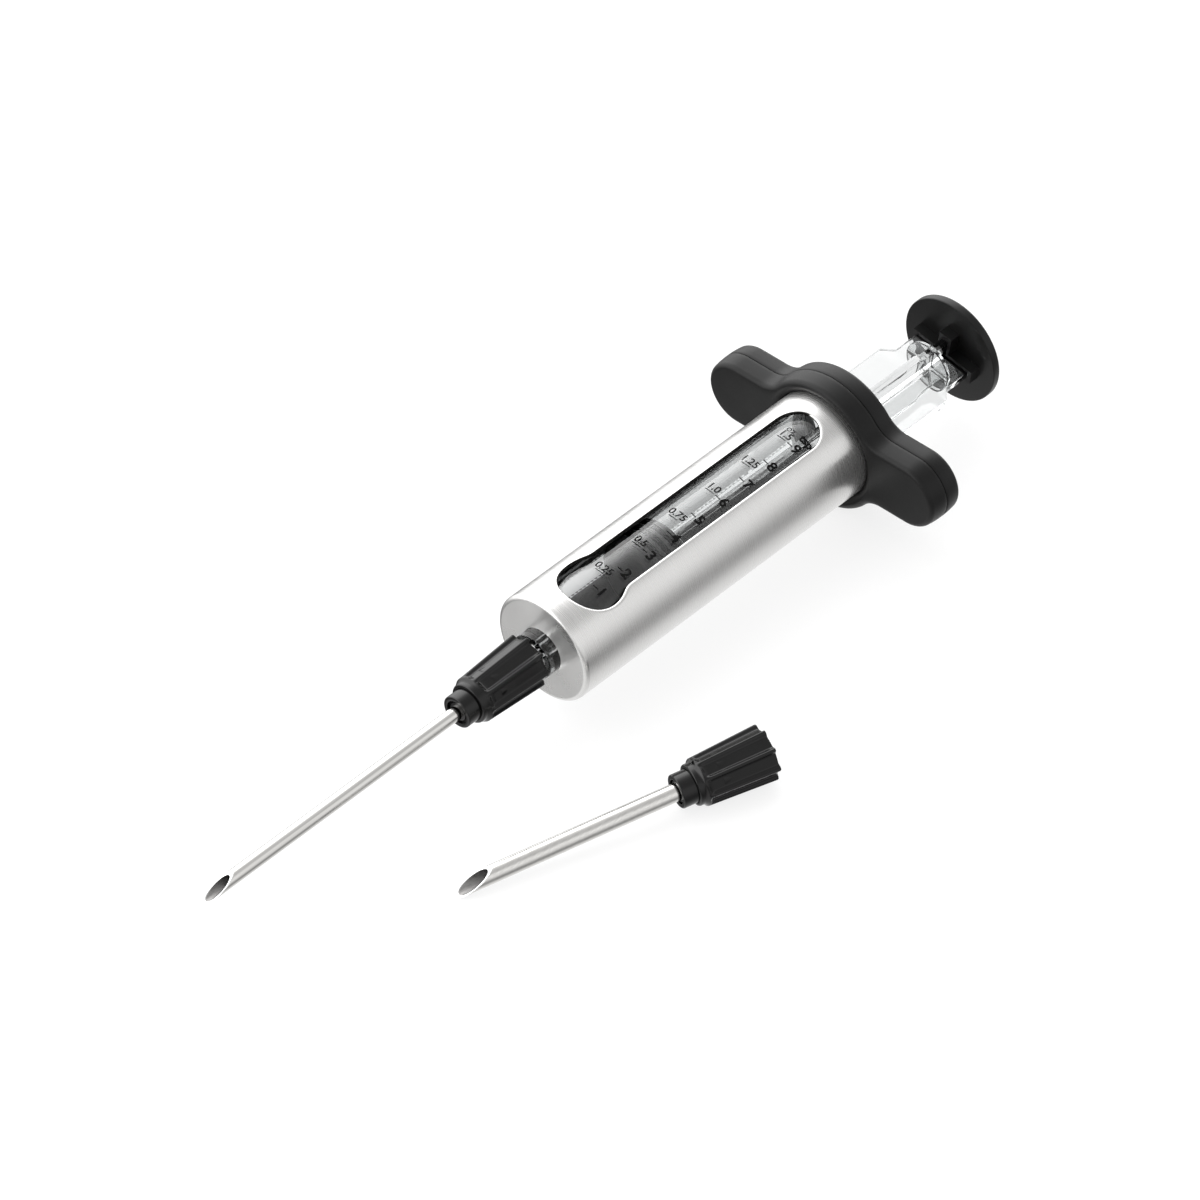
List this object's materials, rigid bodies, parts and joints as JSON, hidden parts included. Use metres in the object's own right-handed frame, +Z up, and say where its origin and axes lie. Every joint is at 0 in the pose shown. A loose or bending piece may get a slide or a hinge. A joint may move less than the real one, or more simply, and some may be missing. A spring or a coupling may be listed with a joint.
{
  "type": "meat injector",
  "caption": "Marinade syringe: clear barrel in a steel sleeve with a window, winged finger grip, ribbed plunger with thumb disc, screw-on needle, and a spare wide needle.",
  "frame": {"origin": "middle of the object's box in plan, on the surface that the injector lies on", "axes": "+X along the injector's axis from the needle tip to the thumb disc, +Y along one finger wing, +Z up"},
  "size_m": [0.2898, 0.1102, 0.041],
  "materials": {
    "sleeve_steel": "brushed round the sleeve",
    "clear_plastic": "clear, polished",
    "gasket_rubber": "smooth",
    "piston_black": "fine satin",
    "seal_rubber": "smooth",
    "disc_black": "fine satin",
    "grip_black": "fine satin",
    "slip_ring": "smooth",
    "nut_black": "glossy",
    "needle_steel": "polished"
  },
  "bodies": {
    "barrel_unit": {"steel_sleeve": "sleeve_steel", "clear_barrel": "clear_plastic", "front_gasket": "gasket_rubber", "rear_gasket": "gasket_rubber"},
    "grip": {"grip_front_shell": "grip_black", "grip_rear_shell": "grip_black", "grip_slip_ring": "slip_ring"},
    "plunger": {"plunger_rod": "clear_plastic", "piston_head": "piston_black", "piston_seal_front": "seal_rubber", "piston_seal_middle": "seal_rubber", "piston_seal_rear": "seal_rubber", "disc_socket": "disc_black", "thumb_disc": "disc_black"},
    "needle": {"needle_carrier": "nut_black", "needle_tube": "needle_steel", "needle_washer": "gasket_rubber"},
    "nut": {"lock_nut": "nut_black"},
    "spare_needle": {"spare_carrier": "nut_black", "spare_tube": "needle_steel", "spare_washer": "gasket_rubber"},
    "spare_nut_body": {"spare_nut": "nut_black"}
  },
  "joints": [
    {"name": "plunger_push", "type": "slide", "parent": "barrel_unit", "child": "plunger", "axis": [1, 0, 0], "range_m": [-0.0285, 0.07]},
    {"name": "grip_turn", "type": "hinge", "parent": "barrel_unit", "child": "grip", "pos_m": [0.095, 0.01388, 0.0205], "axis": [1, 0, 0], "continuous": true},
    {"name": "needle_draw", "type": "slide", "parent": "barrel_unit", "child": "needle", "axis": [-1, 0, 0], "range_m": [0, 0.012]},
    {"name": "nut_turn", "type": "hinge", "parent": "needle", "child": "nut", "pos_m": [-0.0302, 0.01388, 0.0205], "axis": [-1, 0, 0], "range_deg": [0, 2160]},
    {"name": "spare_slide", "type": "slide", "parent": "barrel_unit", "child": "spare_needle", "axis": [0, -1, 0], "range_m": [0, 0.04]},
    {"name": "spare_nut_spin", "type": "hinge", "parent": "spare_needle", "child": "spare_nut_body", "pos_m": [-0.00445, -0.04582, 0.00766], "axis": [0.9478, -0.3134, 0.0593], "continuous": true}
  ],
  "couplings": [
    {"joint": "nut_turn", "follows": "needle_draw", "rad_per_m": 3141.6}
  ]
}
